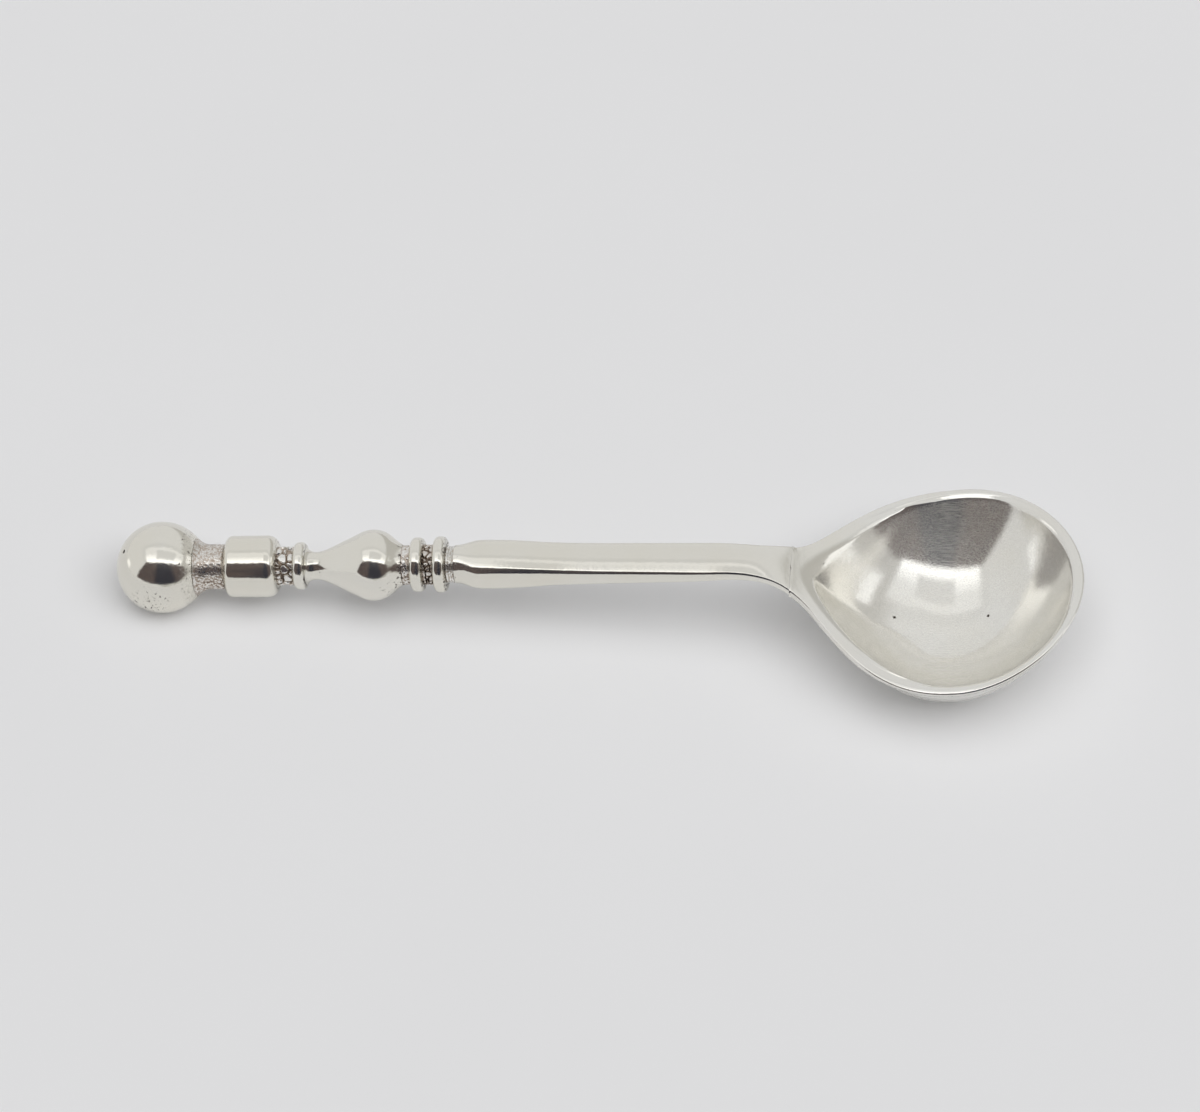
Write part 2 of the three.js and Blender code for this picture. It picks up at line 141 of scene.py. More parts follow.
class SpoonSizes(bpy.types.PropertyGroup):
    """Lengths and angles of the spoon's pieces"""

    seam: length("Solder seam", "Gap that stands for a solder joint", 0.05)
    bore: length("Bore", "Diameter of the hole for the core pin", 1.3)
    pitch: angle("Handle pitch", "Rise of the handle towards the bowl", 6.4)
    ball: length("Ball", "Diameter of the ball finial", 7.1)
    ball_seat: length("Ball seat", "Diameter where the ball meets its neck", 4.5)
    ball_rest: length("Ball rest", "Diameter of the worn flat below the ball", 2.0)
    ball_bore: length("Ball bore", "Depth of the pin's hole in the ball", 3.2)
    ball_neck_length: length("Ball neck length", "Length of the neck under the ball", 2.3)
    ball_neck: length("Ball neck", "Diameter of the neck under the ball", 3.5)
    ball_flare: length("Ball flare", "Length of the flare into the ball", 1.0)
    barrel_length: length("Barrel length", "Length of the barrel bead", 4.0)
    barrel: length("Barrel", "Diameter of the barrel bead", 4.77)
    barrel_ball_edge: length("Barrel ball edge", "Rounding towards the ball", 0.5)
    barrel_knop_edge: length("Barrel knop edge", "Rounding towards the knop", 0.8)
    barrel_neck_length: length("Barrel neck length", "Length of the lumpy neck", 1.2)
    barrel_neck: length("Barrel neck", "Diameter of the lumpy neck", 3.0)
    waist_ring_length: length("Waist ring length", "Length of the ring at the waist", 0.9)
    waist_ring: length("Waist ring", "Diameter of the ring at the waist", 3.67)
    knop_length: length("Knop length", "Length of the double cone", 7.5)
    knop: length("Knop", "Diameter of the knop's crown", 5.5)
    knop_crown_place: length("Crown place", "From the knop's start to its crown", 5.2)
    knop_crown: length("Crown radius", "Rounding of the knop's crown", 2.2)
    knop_waist: length("Knop waist", "Diameter of the thin waist", 2.1)
    knop_waist_length: length("Waist length", "From the knop's start to its cone", 1.15)
    knop_seat: length("Knop seat", "Diameter at the waist ring", 2.9)
    knop_end: length("Knop end", "Diameter at the knop's neck", 3.1)
    knop_neck_length: length("Knop neck length", "Length of the pitted neck", 0.6)
    knop_neck: length("Knop neck", "Diameter of the pitted neck", 3.06)
    upper_ring_length: length("Upper ring length", "Length of the ring by the knop", 0.95)
    upper_ring: length("Upper ring", "Diameter of the ring by the knop", 4.2)
    ring_neck_length: length("Ring neck length", "Length of the neck between rings", 0.75)
    ring_neck: length("Ring neck", "Diameter of the neck between rings", 3.1)
    lower_ring_length: length("Lower ring length", "Length of the ring by the stem", 0.9)
    lower_ring: length("Lower ring", "Diameter of the ring by the stem", 4.34)
    ring_edge: length("Ring edge", "Rounding of the rings", 0.38)
    stem_neck_length: length("Stem neck length", "Length of the grooved neck", 0.6)
    stem_neck: length("Stem neck", "Diameter of the grooved neck", 2.87)
    stem_length: length("Stem length", "Level length of the stem", 25.7)
    stem_bend: length("Stem bend", "Level length of the bend into the bowl", 8.0)
    stem_bore: length("Stem bore", "Depth of the pin's hole in the stem", 4.0)
    stem_crown: angle("Stem crown", "Tilt of the stem's top beside its edges", 25)
    root_width: length("Root width", "Width where the stem meets the bowl", 4.45)
    root_thickness: length("Root thickness", "Edge thickness at the bowl's root", 0.75)
    root_keel: length("Root keel", "Depth of the keel at the bowl's root", 0.45)
    root_height: length("Root height", "Height of the rim at the bowl's root", 8.0)
    root_slope: angle("Root slope", "Fall of the rim at the root", -27)
    root_flare: angle("Root flare", "Spread of the sides at the root", 22)
    tip_slope: angle("Tip slope", "Rise of the rim at the tip", 10)
    bowl_widest: length("Widest place", "From the bowl's root to its widest place", 12.9)
    bowl_middle: length("Bowl middle", "From the bowl's root to its lowest place", 11.9)
    bowl_bottom: length("Bottom wall", "Thickness of the bowl's bottom", 0.65)
    bowl_rest: length("Bowl rest", "Diameter of the worn flat below the bowl", 4.4)
    wall_slope: angle("Wall slope", "Slope of the bowl's wall at its rim", 52)
    rim_width: length("Rim width", "Width of the filed rim", 0.75)
    rim_edge: length("Rim edge", "Height of the rim's outer edge", 0.35)
    rim_rounding: length("Rim rounding", "Rounding of the rim's outer edge", 0.2)
    rim_crown: length("Rim crown", "Rise of the rim's middle over its edges", 0.15)
    hollow_start: length("Hollow start", "From the bowl's root to the hollow", 0.5)
    heel_length: length("Heel length", "Length over which stem turns to bowl", 12.3)
    heel_edge: number("Heel edge", "Where the heel's wall ends, 1 for the hollow's outline", 0.88)
    heel_wall: angle("Heel wall", "Slope of the heel's wall at its edge", 50)
    heel_rounding: length("Heel rounding", "Height over which the heel's edge is rounded", 3.0)


class SpoonColours(bpy.types.PropertyGroup):
    """Colours of the finishes and of the stage"""

    silver: colour("Silver", "Polished sterling silver", "#ECEBE7")
    yellowed: colour("Yellowed silver", "Thin tarnish on the silver", "#E7E4DA")
    oxide: colour("Oxide", "Dark brown oxide in pits and corners", "#3A302A")
    grain: colour("Grain", "Oxidised skin of the rough necks", "#B3A496")
    floor: colour("Floor", "Pale paper that the spoon lies on", "#E8E8E9")
    tent: colour("Tent", "Pale walls of the light tent", "#E3E3E3")
    panel: colour("Panel", "Roof of the tent round its lamps", "#DCDCDC")
    side: colour("Side wall", "Shaded wall of the tent beyond the bowl's tip", "#C2C1BE")
    opening: colour("Opening", "Dark front opening of the tent", "#6E5F59")
    shade: colour("Deep shade", "Darkest part of the opening", "#2E2E38")


# Places that the pieces share


def in_millimetres(group):
    """The lengths of a property group in millimetres, and its angles in radians."""
    values = {}
    for prop in group.bl_rna.properties:
        if prop.type == "FLOAT":
            scale = MM if prop.unit == "LENGTH" else 1
            values[prop.identifier] = getattr(group, prop.identifier) / scale
    return SimpleNamespace(**values)


def sizes_and_places(context):
    """All the sizes, with the places along the spoon that follow from them and from the frame."""
    size = in_millimetres(context.scene.spoon_sizes)
    size.bore_radius = size.bore / 2
    radius = size.ball / 2
    size.ball_height = math.sqrt(radius ** 2 - (size.ball_rest / 2) ** 2)
    bowl_low, bowl_high = (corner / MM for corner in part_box("bowl"))
    size.bowl_start = bowl_low.x
    size.bowl_tip = bowl_high.x
    size.bowl_length = size.bowl_tip - size.bowl_start
    size.bowl_width = bowl_high.y - bowl_low.y
    size.tip_height = bowl_high.z
    size.seat_place = math.sqrt(radius ** 2 - (size.ball_seat / 2) ** 2)
    place = size.seat_place + size.seam
    size.start, size.end = {}, {}
    for piece in ("ball_neck", "barrel", "barrel_neck", "waist_ring", "knop", "knop_neck",
                  "upper_ring", "ring_neck", "lower_ring", "stem_neck"):
        size.start[piece] = place
        size.end[piece] = place + getattr(size, piece + "_length")
        place = size.end[piece] + size.seam
    size.start["stem"] = place
    size.stem_end = size.bowl_start - size.seam
    size.stem_start = size.stem_end - size.stem_length
    size.ball_place = size.stem_start - place * math.cos(size.pitch)
    # Each piece reaches into its seams and leaves only a hairline
    size.reach = (size.seam - HAIRLINE) / 2
    return size


def span(size, piece):
    """Where a piece starts and ends along the handle's axis, with its reach into the seams."""
    return size.start[piece] - size.reach, size.end[piece] + size.reach


def handle_matrix(size):
    """From the handle's own axis, +X from the ball's centre, to the spoon's frame."""
    place = Matrix.Translation((size.ball_place, 0, size.ball_height))
    return place @ Matrix.Rotation(-size.pitch, 4, "Y")


# Curves


def mix(start, end, share):
    return start + (end - start) * share


def smooth(low, high, value):
    """0 below low, 1 above high, eased between."""
    share = min(1, max(0, (value - low) / (high - low)))
    return share * share * (3 - 2 * share)


def arc(along, out, radius, start, end, steps=ARC_STEPS):
    """Points of an arc round a centre, between two angles in degrees from the handle's axis."""
    turns = [math.radians(mix(start, end, step / steps)) for step in range(steps + 1)]
    return [(along + radius * math.cos(turn), out + radius * math.sin(turn)) for turn in turns]


def bend(start, corner, end, steps=ARC_STEPS):
    """Points of a curve from start to end that leans towards a corner."""
    points = []
    for step in range(steps + 1):
        share = step / steps
        first = Vector(start).lerp(Vector(corner), share)
        points.append(first.lerp(Vector(corner).lerp(Vector(end), share), share))
    return points


def cubic(start, end, start_slope, end_slope, span, share):
    """A cubic between two values, with a set slope at each end."""
    rest = 1 - share
    from_start = start * (1 + 2 * share) + start_slope * span * share
    from_end = end * (1 + 2 * rest) - end_slope * span * rest
    return from_start * rest ** 2 + from_end * share ** 2


# Meshes


def clean_up(shape):
    """Merges vertices that coincide and turns all the faces outwards."""
    bmesh.ops.remove_doubles(shape, verts=shape.verts, dist=MERGE_DISTANCE)
    bmesh.ops.recalc_face_normals(shape, faces=shape.faces)


def turned(outline):
    """A closed outline, in distance along the handle and distance out, spun about the axis."""
    shape = bmesh.new()
    corners = [shape.verts.new((along, 0, out)) for along, out in outline]
    edges = [shape.edges.new(pair) for pair in zip(corners, corners[1:] + corners[:1])]
    bmesh.ops.spin(
        shape, geom=corners + edges, cent=(0, 0, 0), axis=(1, 0, 0), angle=2 * math.pi,
        steps=SPIN_STEPS, use_merge=True,
    )
    clean_up(shape)
    return shape


def bored(size, outside):
    """An outline closed by the bore for the core pin."""
    first, last = outside[0], outside[-1]
    return [(first[0], size.bore_radius)] + list(outside) + [(last[0], size.bore_radius)]


def warped_grid(columns, rows, place):
    """A grid whose vertices go where place(column, row) puts them."""
    shape = bmesh.new()
    bmesh.ops.create_grid(shape, x_segments=columns - 1, y_segments=rows - 1, size=0.5)
    for vert in shape.verts:
        column = round((vert.co.x + 0.5) * (columns - 1))
        row = round((vert.co.y + 0.5) * (rows - 1))
        vert.co = place(column, row)
    return shape


def hand_finish(shape, depth, spacing):
    """Slight waves that filing and polishing by hand leave in a surface."""
    shape.normal_update()
    for vert in shape.verts:
        vert.co += vert.normal * depth * noise.noise(vert.co / spacing)


def mark(shape, name, amount):
    """Keeps the larger of each vertex's share and amount(place), for the finish."""
    layer = shape.verts.layers.float.get(name) or shape.verts.layers.float.new(name)
    for vert in shape.verts:
        vert[layer] = max(vert[layer], amount(vert.co))


def finish(shape, name, node, material):
    """Turns a shape in millimetres into a piece that stands for a CAD node."""
    bmesh.ops.scale(shape, vec=(MM, MM, MM), verts=shape.verts)
    for face in shape.faces:
        face.smooth = True
    for edge in shape.edges:
        edge.smooth = edge.calc_face_angle(0) < SHARP_ANGLE
    mesh = bpy.data.meshes.new(name)
    shape.to_mesh(mesh)
    shape.free()
    mesh.materials.append(material)
    piece = bpy.data.objects.new(name, mesh)
    bpy.context.scene.collection.objects.link(piece)
    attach(piece, "root")
    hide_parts(node)


# Materials

# A mix of colours has its share at socket 0 and its two colours at sockets 6 and 7
COLOUR_MIX = {"output": 2, "data_type": "RGBA"}


def add_node(tree, kind, values=None, links=None, output=0, **settings):
    """Adds a shader node with its settings, its sockets' values and its links, and gives an output."""
    node = tree.nodes.new("ShaderNode" + kind)
    for name, value in settings.items():
        setattr(node, name, value)
    for socket, value in (values or {}).items():
        node.inputs[socket].default_value = value
    for socket, source in (links or {}).items():
        tree.links.new(source, node.inputs[socket])
    return node.outputs[output] if node.outputs else node


def per_mm(millimetres):
    """Scale of a pattern on Object coordinates, which are metres, from its real size."""
    return 1 / (millimetres * MM)


def rgba(value):
    return (*value, 1)


def new_material(name):
    """A material, a function that adds nodes to it, and its Object coordinates. A material that was
    made before comes without the other two."""
    found = bpy.data.materials.get(name)
    if found:
        return found, None, None
    material = bpy.data.materials.new(name)
    material.use_nodes = True
    material.node_tree.nodes.clear()
    add = partial(add_node, material.node_tree)
    return material, add, add("TexCoord", output="Object")


def scratch_lines(add, place, turn, width, run):
    """Height of fine parallel scratches: noise drawn out along one direction."""
    drawn_out = add(
        "Mapping", {"Rotation": turn, "Scale": (per_mm(run), per_mm(width), per_mm(width))},
        {"Vector": place},
    )
    lines = add("TexNoise", {"Scale": 1.0, "Detail": 2.0, "Roughness": 0.5}, {"Vector": drawn_out})
    return add("MapRange", {"From Min": 0.52, "From Max": 0.66}, {"Value": lines})


def polished_silver(colours):
    """Sterling silver, filed and polished by hand: a clear mirror with fine scratches, a thin
    yellow tarnish in patches, and black oxide in pits near the joints."""
    material, add, place = new_material("sterling_silver_polished")
    if add is None:
        return material
    # Tarnish is thin on the bowl, which is rubbed most, and thicker towards the ball
    patches = add("TexNoise", {"Scale": per_mm(5), "Detail": 3.0}, {"Vector": place})
    along = add("SeparateXYZ", links={0: place}, output="X")
    rubbed = add(
        "MapRange",
        {"From Min": 8 * MM, "From Max": 22 * MM, "To Min": 0.35, "To Max": -0.25}, {"Value": along},
    )
    tarnish = add("Math", links={0: patches, 1: rubbed}, operation="ADD", use_clamp=True)
    tinted = add("Mix", {6: rgba(colours.silver), 7: rgba(colours.yellowed)}, {0: tarnish}, **COLOUR_MIX)
    # Oxide specks of about 0.1 mm, more where the mesh says that oxide gathers
    specks = add("TexNoise", {"Scale": per_mm(0.24), "Detail": 4.0, "Roughness": 0.65}, {"Vector": place})
    held = add("Attribute", output="Fac", attribute_name="oxide")
    limit = add("MapRange", {"To Min": 0.85, "To Max": 0.44}, {"Value": held}, clamp=False)
    over = add("Math", links={0: specks, 1: limit}, operation="SUBTRACT")
    oxide = add("MapRange", {"From Max": 0.1}, {"Value": over})
    base = add("Mix", {7: rgba(colours.oxide)}, {0: oxide, 6: tinted}, **COLOUR_MIX)
    # Scratches too fine to see make a haze, and use wears the hollow most
    first = scratch_lines(add, place, (0.3, 0.0, 1.1), 0.05, 2.6)
    second = scratch_lines(add, place, (0.0, 0.4, -0.5), 0.04, 1.8)
    lines = add("Math", links={0: first, 1: second}, operation="MAXIMUM")
    scratches = add("MapRange", {"To Min": 0.22, "To Max": 0.44}, {"Value": lines})
    wear = add("Attribute", output="Fac", attribute_name="wear")
    haze = add("Math", links={0: scratches, 1: wear}, operation="MULTIPLY")
    # Fine ripples that polishing leaves make the edges of reflections ragged, least in the hollow
    waves = add("TexNoise", {"Scale": per_mm(0.4), "Detail": 3.0}, {"Vector": place})
    uneven = add("MapRange", {"To Min": 2.4, "To Max": 1.0}, {"Value": wear})
    ripples = add("Math", links={0: waves, 1: uneven}, operation="MULTIPLY")
    relief = add("Math", {1: -0.4}, {0: haze, 2: ripples}, operation="MULTIPLY_ADD")
    pitted = add("Math", links={0: relief, 1: oxide}, operation="SUBTRACT")
    bump = add("Bump", {"Strength": 1.0, "Distance": 0.004 * MM}, {"Height": pitted})
    roughness = add("MapRange", {"To Min": 0.1, "To Max": 0.5}, {"Value": oxide})
    look = {"Base Color": base, "Normal": bump}
    clear = add("BsdfPrincipled", {"Metallic": 1.0}, {**look, "Roughness": roughness})
    hazy = add("BsdfPrincipled", {"Metallic": 1.0, "Roughness": 0.75}, look)
    both = add("MixShader", links={0: haze, 1: clear, 2: hazy})
    add("OutputMaterial", links={"Surface": both})
    return material


def oxidised_silver(colours):
    """Silver left rough from casting and soldering: worn bright on its high spots, with a
    brown-grey skin and black pits between them."""
    material, add, place = new_material("oxidised_silver_rough")
    if add is None:
        return material
    depth = add("Attribute", output="Fac", attribute_name="oxide")
    grain = add("TexNoise", {"Scale": per_mm(0.1), "Detail": 4.0, "Roughness": 0.6}, {"Vector": place})
    mottled = add("Math", {1: 0.5}, {0: grain}, operation="SUBTRACT")
    dirt = add("Math", links={0: mottled, 1: depth}, operation="ADD")
    skin = add("MapRange", {"From Min": 0.15, "From Max": 0.6}, {"Value": dirt})
    holes = add("MapRange", {"From Min": 0.6, "From Max": 0.95}, {"Value": dirt})
    browned = add("Mix", {6: rgba(colours.silver), 7: rgba(colours.grain)}, {0: skin}, **COLOUR_MIX)
    base = add("Mix", {7: rgba(colours.oxide)}, {0: holes, 6: browned}, **COLOUR_MIX)
    roughness = add("MapRange", {"To Min": 0.14, "To Max": 0.45}, {"Value": dirt})
    bump = add("Bump", {"Strength": 0.6, "Distance": 0.018 * MM}, {"Height": grain})
    shader = add(
        "BsdfPrincipled", {"Metallic": 1.0}, {"Base Color": base, "Roughness": roughness, "Normal": bump}
    )
    add("OutputMaterial", links={"Surface": shader})
    return material


def drawn_wire(colours):
    """Silver wire as it leaves the drawplate: fine lines along its length."""
    material, add, place = new_material("drawn_silver_wire")
    if add is None:
        return material
    lines = scratch_lines(add, place, (0.0, 0.0, 0.0), 0.06, 6.0)
    base = add("Mix", {6: rgba(colours.silver), 7: rgba(colours.yellowed)}, {0: lines}, **COLOUR_MIX)
    roughness = add("MapRange", {"To Min": 0.25, "To Max": 0.4}, {"Value": lines})
    bump = add("Bump", {"Strength": 0.3, "Distance": 0.01 * MM}, {"Height": lines})
    shader = add(
        "BsdfPrincipled", {"Metallic": 1.0}, {"Base Color": base, "Roughness": roughness, "Normal": bump}
    )
    add("OutputMaterial", links={"Surface": shader})
    return material


def pale_paper(colours):
    """Smooth matt paper: an even pale grey with faint mottling."""
    material, add, place = new_material("matt_paper")
    if add is None:
        return material
    mottling = add("TexNoise", {"Scale": per_mm(30), "Detail": 3.0}, {"Vector": place})
    bright = add("MapRange", {"To Min": 0.985, "To Max": 1.015}, {"Value": mottling})
    base = add("VectorMath", {0: colours.floor}, {1: bright}, operation="MULTIPLY")
    # The camera and the silver see the paper paler than its light makes it
    path = add("LightPath").node.outputs
    seen = add("Math", links={0: path["Is Camera Ray"], 1: path["Is Glossy Ray"]}, operation="MAXIMUM")
    lift = add("MapRange", {"To Max": PAPER_LIFT}, {"Value": seen})
    shader = add(
        "BsdfPrincipled",
        {"Roughness": 0.9, "Specular IOR Level": 0.0, "Emission Color": rgba(colours.floor)},
        {"Base Color": base, "Emission Strength": lift},
    )
    add("OutputMaterial", links={"Surface": shader})
    return material


# Turned pieces


def fade(distance, reach):
    """1 at a place, falling to 0 at a reach from it."""
    return 1 - smooth(0, reach, distance)


def finish_polished(context, shape, name, node):
    """Finishes a shape as a piece of polished silver."""
    finish(shape, name, node, polished_silver(context.scene.spoon_colours))


def add_turned(context, shape, size, name, node):
    """Polishes a turned shape, puts it on the handle's axis and finishes it."""
    hand_finish(shape, depth=0.006, spacing=1.6)
    mark(shape, "wear", lambda co: HANDLE_WEAR)
    bmesh.ops.transform(shape, matrix=handle_matrix(size), verts=shape.verts)
    finish_polished(context, shape, name, node)


def bead_outline(size, piece, diameter, first_edge, last_edge):
    """A straight crown with rounded edges."""
    start, end = span(size, piece)
    radius = diameter / 2
    outside = arc(start + first_edge, radius - first_edge, first_edge, 180, 90)
    outside += arc(end - last_edge, radius - last_edge, last_edge, 90, 0)
    return bored(size, outside)


class SPOON_OT_ball(bpy.types.Operator):
    """Ball finial with its worn flat, its blind hole and a small dent"""

    bl_idname = "spoon.ball"
    bl_label = "Ball finial"

    def execute(self, context):
        size = sizes_and_places(context)
        radius = size.ball / 2
        seat = size.seat_place + size.reach
        seat_angle = math.degrees(math.acos(seat / radius))
        outline = arc(0, 0, radius, 180, seat_angle, 8 * ARC_STEPS)
        bottom = size.seat_place - size.ball_bore
        outline += [(seat, size.bore_radius), (bottom, size.bore_radius), (bottom, 0)]
        shape = turned(outline)
        dent = Vector((-0.74, -0.10, 0.67)) * radius
        scuffs = Vector((-0.15, -0.97, -0.2)) * radius
        for vert in shape.verts:
            vert.co *= 1 - DENT_DEPTH * fade((vert.co - dent).length, DENT_REACH)
        mark(shape, "oxide", lambda co: 2.4 * fade((co - dent).length, 0.3))
        mark(shape, "oxide", lambda co: min(STAIN_LIMIT, 1.6 * fade((co - scuffs).length, 3.2)))
        mark(shape, "oxide", lambda co: min(STAIN_LIMIT, 1.6 * fade(seat - co.x, 1.5)))
        hand_finish(shape, depth=0.012, spacing=2.2)
        mark(shape, "wear", lambda co: HANDLE_WEAR + fade(seat - co.x, 1.0))
        bmesh.ops.transform(shape, matrix=handle_matrix(size), verts=shape.verts)
        geometry = shape.verts[:] + shape.edges[:] + shape.faces[:]
        bmesh.ops.bisect_plane(
            shape, geom=geometry, plane_co=(0, 0, 0), plane_no=(0, 0, 1), clear_inner=True,
            dist=MERGE_DISTANCE,
        )
        bmesh.ops.holes_fill(shape, edges=[edge for edge in shape.edges if edge.is_boundary])
        bmesh.ops.recalc_face_normals(shape, faces=shape.faces)
        finish_polished(context, shape, "silver_ball", "ball_finial")
        return {"FINISHED"}


class SPOON_OT_barrel(bpy.types.Operator):
    """Barrel bead, rounded more towards the knop"""

    bl_idname = "spoon.barrel"
    bl_label = "Barrel bead"

    def execute(self, context):
        size = sizes_and_places(context)
        start, end = size.start["barrel"], size.end["barrel"]
        shape = turned(
            bead_outline(size, "barrel", size.barrel, size.barrel_ball_edge, size.barrel_knop_edge)
        )
        mark(shape, "oxide", lambda co: 0.9 * fade(co.x - start, 0.3))
        mark(shape, "oxide", lambda co: 0.75 * fade(end - co.x, 0.55))
        add_turned(context, shape, size, "silver_barrel", "barrel")
        return {"FINISHED"}


class SPOON_OT_rings(bpy.types.Operator):
    """The three rings, each a rounded bead"""

    bl_idname = "spoon.rings"
    bl_label = "Rings"

    def execute(self, context):
        size = sizes_and_places(context)
        for ring in ("waist_ring", "upper_ring", "lower_ring"):
            start, end = size.start[ring], size.end[ring]
            edge = size.ring_edge
            shape = turned(bead_outline(size, ring, getattr(size, ring), edge, edge))
            mark(shape, "oxide", lambda co: 0.75 * fade(co.x - start, 0.3))
            mark(shape, "oxide", lambda co: 0.85 * fade(end - co.x, 0.35))
            add_turned(context, shape, size, "silver_" + ring, ring)
        return {"FINISHED"}


class SPOON_OT_knop(bpy.types.Operator):
    """Knop: a double cone with a rounded crown and a thin waist"""

    bl_idname = "spoon.knop"
    bl_label = "Knop"

    def execute(self, context):
        size = sizes_and_places(context)
        start, end = span(size, "knop")
        waist = (size.start["knop"] + size.knop_waist_length, size.knop_waist / 2)
        crown_place = size.start["knop"] + size.knop_crown_place
        crown = size.knop / 2
        front = math.degrees(math.atan2(crown - waist[1], crown_place - waist[0])) + CONE_EASE
        rounded = arc(
            crown_place, crown - size.knop_crown, size.knop_crown, 90 + front, 90 - CROWN_BACK,
            4 * ARC_STEPS,
        )
        # The waist flows into the cone along the cone's own line
        cone = Vector(rounded[0]) - Vector(waist)
        cone /= cone.x
        corner, joined = Vector(waist) - WAIST_LEAD * cone, Vector(waist) + WAIST_TRAIL * cone
        outside = bend((start, size.knop_seat / 2), corner, joined, 2 * ARC_STEPS) + rounded
        last = outside[-1]
        slope = math.tan(math.radians(CROWN_BACK))
        knee = (end - KNOP_KNEE, last[1] - slope * (end - KNOP_KNEE - last[0]))
        outside += bend(last, knee, (end, size.knop_end / 2))[1:]
        shape = turned(bored(size, outside))
        mark(shape, "oxide", lambda co: 0.9 * fade(abs(co.x - waist[0]), 0.18))
        mark(shape, "oxide", lambda co: 0.6 * fade(abs(co.x - waist[0] - 0.5), 1.2) * (co.z < 0.2))
        mark(shape, "oxide", lambda co: 0.8 * fade(end - co.x, 1.1))
        mark(shape, "oxide", lambda co: min(STAIN_LIMIT, 1.6 * fade(end - co.x, 2.6)) * (co.z < 0.6))
        add_turned(context, shape, size, "silver_knop", "knop")
        return {"FINISHED"}


# Rough necks


def lumps(place, spacing):
    """Grains with narrow cracks between them, from 0 in a crack to 1 on a grain."""
    nearest = noise.voronoi(place / spacing)[0]
    return smooth(0.02, 0.25, nearest[1] - nearest[0])


def pits(place, spacing):
    """Pitted skin, from 0 in a pit to 1 on the skin."""
    return smooth(-0.25, 0.1, noise.noise(place / spacing) + 0.5 * noise.noise(2 * place / spacing))


class SPOON_OT_necks(bpy.types.Operator):
    """The five rough necks between the polished pieces"""

    bl_idname = "spoon.necks"
    bl_label = "Rough necks"

    def execute(self, context):
        size = sizes_and_places(context)
        looks = {
            "ball_neck": {"depth": 0.02, "form": pits, "spacing": 0.14, "dirt": 0.24},
            "barrel_neck": {"depth": 0.22, "form": lumps, "spacing": 0.62, "dirt": 0.12},
            "knop_neck": {"depth": 0.05, "form": pits, "spacing": 0.2, "dirt": 0.2},
            "ring_neck": {"depth": 0.16, "form": lumps, "spacing": 0.42, "dirt": 0.32},
            "stem_neck": {"depth": 0.01, "form": pits, "spacing": 0.17, "dirt": 0.0, "grooves": 0.03},
        }
        for neck, look in looks.items():
            self.add_neck(context, size, neck, look)
        return {"FINISHED"}

    def add_neck(self, context, size, neck, look):
        """One neck: straight, flared or grooved, then roughened. Its ends are dark, apart from a flare."""
        start, end = span(size, neck)
        radius = getattr(size, neck) / 2
        outside = []
        for row in range(NECK_ROWS + 1):
            along = mix(start, end, row / NECK_ROWS)
            groove = 1 + math.cos(2 * math.pi * (along - start) / GROOVE_SPACING)
            out = radius - look.get("grooves", 0.0) * groove
            if neck == "ball_neck":
                out += (size.ball_seat / 2 - radius) * max(0, 1 - (along - start) / size.ball_flare) ** 2
                out -= SEAM_DEPTH * fade(end - along, SEAM_REACH)
            outside.append((along, out))
        shape = turned(bored(size, outside))
        layer = shape.verts.layers.float.new("oxide")
        for vert in shape.verts:
            out = Vector((0, vert.co.y, vert.co.z))
            if out.length < size.bore_radius + 0.1:
                continue
            low = 1 - look["form"](vert.co + NOISE_SHIFT, look["spacing"])
            ends = fade(end - vert.co.x, NECK_END)
            if neck != "ball_neck":
                ends = max(ends, fade(vert.co.x - start, NECK_END))
            vert.co -= out.normalized() * look["depth"] * low * (1 - 0.5 * ends)
            # The upper side is kept lighter: cracks and ends darken it less, so each neck is darker below
            lighter_above = 0.4 * smooth(0.0, 1.2, vert.co.z)
            cracks = 0.8 if look["form"] is lumps else 0.55
            vert[layer] = min(1, look["dirt"] + (cracks * low + 0.4 * ends) * (1 - lighter_above))
        bmesh.ops.transform(shape, matrix=handle_matrix(size), verts=shape.verts)
        material = oxidised_silver(context.scene.spoon_colours)
        finish(shape, "rough_" + neck, neck, material)


# Stem and bowl


def rim_height(size, x):
    """Height of the rim: it falls from the stem and rises again to the tip."""
    share = (x - size.bowl_start) / size.bowl_length
    slopes = math.tan(size.root_slope), math.tan(size.tip_slope)
    return cubic(size.root_height, size.tip_height, *slopes, size.bowl_length, share)


def stem_sections(size):
    """Places along the stem with width, edge thickness, corner radius and keel depth."""
    face = 2.9
    return [
        (0.0, (face, face, face / 2, 0.0)),
        (1.9, (3.65, 2.9, 1.05, 0.0)),
        (9.0, (3.25, 1.95, 0.56, 0.0)),
        (19.0, (3.25, 1.35, 0.38, 0.0)),
        (size.stem_length, (size.root_width, size.root_thickness, 0.25, size.root_keel)),
    ]


def stem_size(size, sections, place):
    """The four measures at a place along the stem, with no corner along any of them."""
    last = len(sections) - 1
    after = next(i for i in range(1, last + 1) if place <= sections[i][0] or i == last)

    def change(i, measure):
        (start, low), (end, high) = sections[i], sections[i + 1]
        return (high[measure] - low[measure]) / (end - start)

    def slope(i, measure):
        if i == 0:
            return 0
        before = change(i - 1, measure)
        if i == last:
            return 2 * math.tan(size.root_flare) if measure == 0 else before
        following = change(i, measure)
        turning = before * following <= 0
        return 0 if turning else 2 * before * following / (before + following)

    (start, low), (end, high) = sections[after - 1], sections[after]
    share = (place - start) / (end - start)
    return [
        cubic(low[m], high[m], slope(after - 1, m), slope(after, m), end - start, share)
        for m in range(4)
    ]


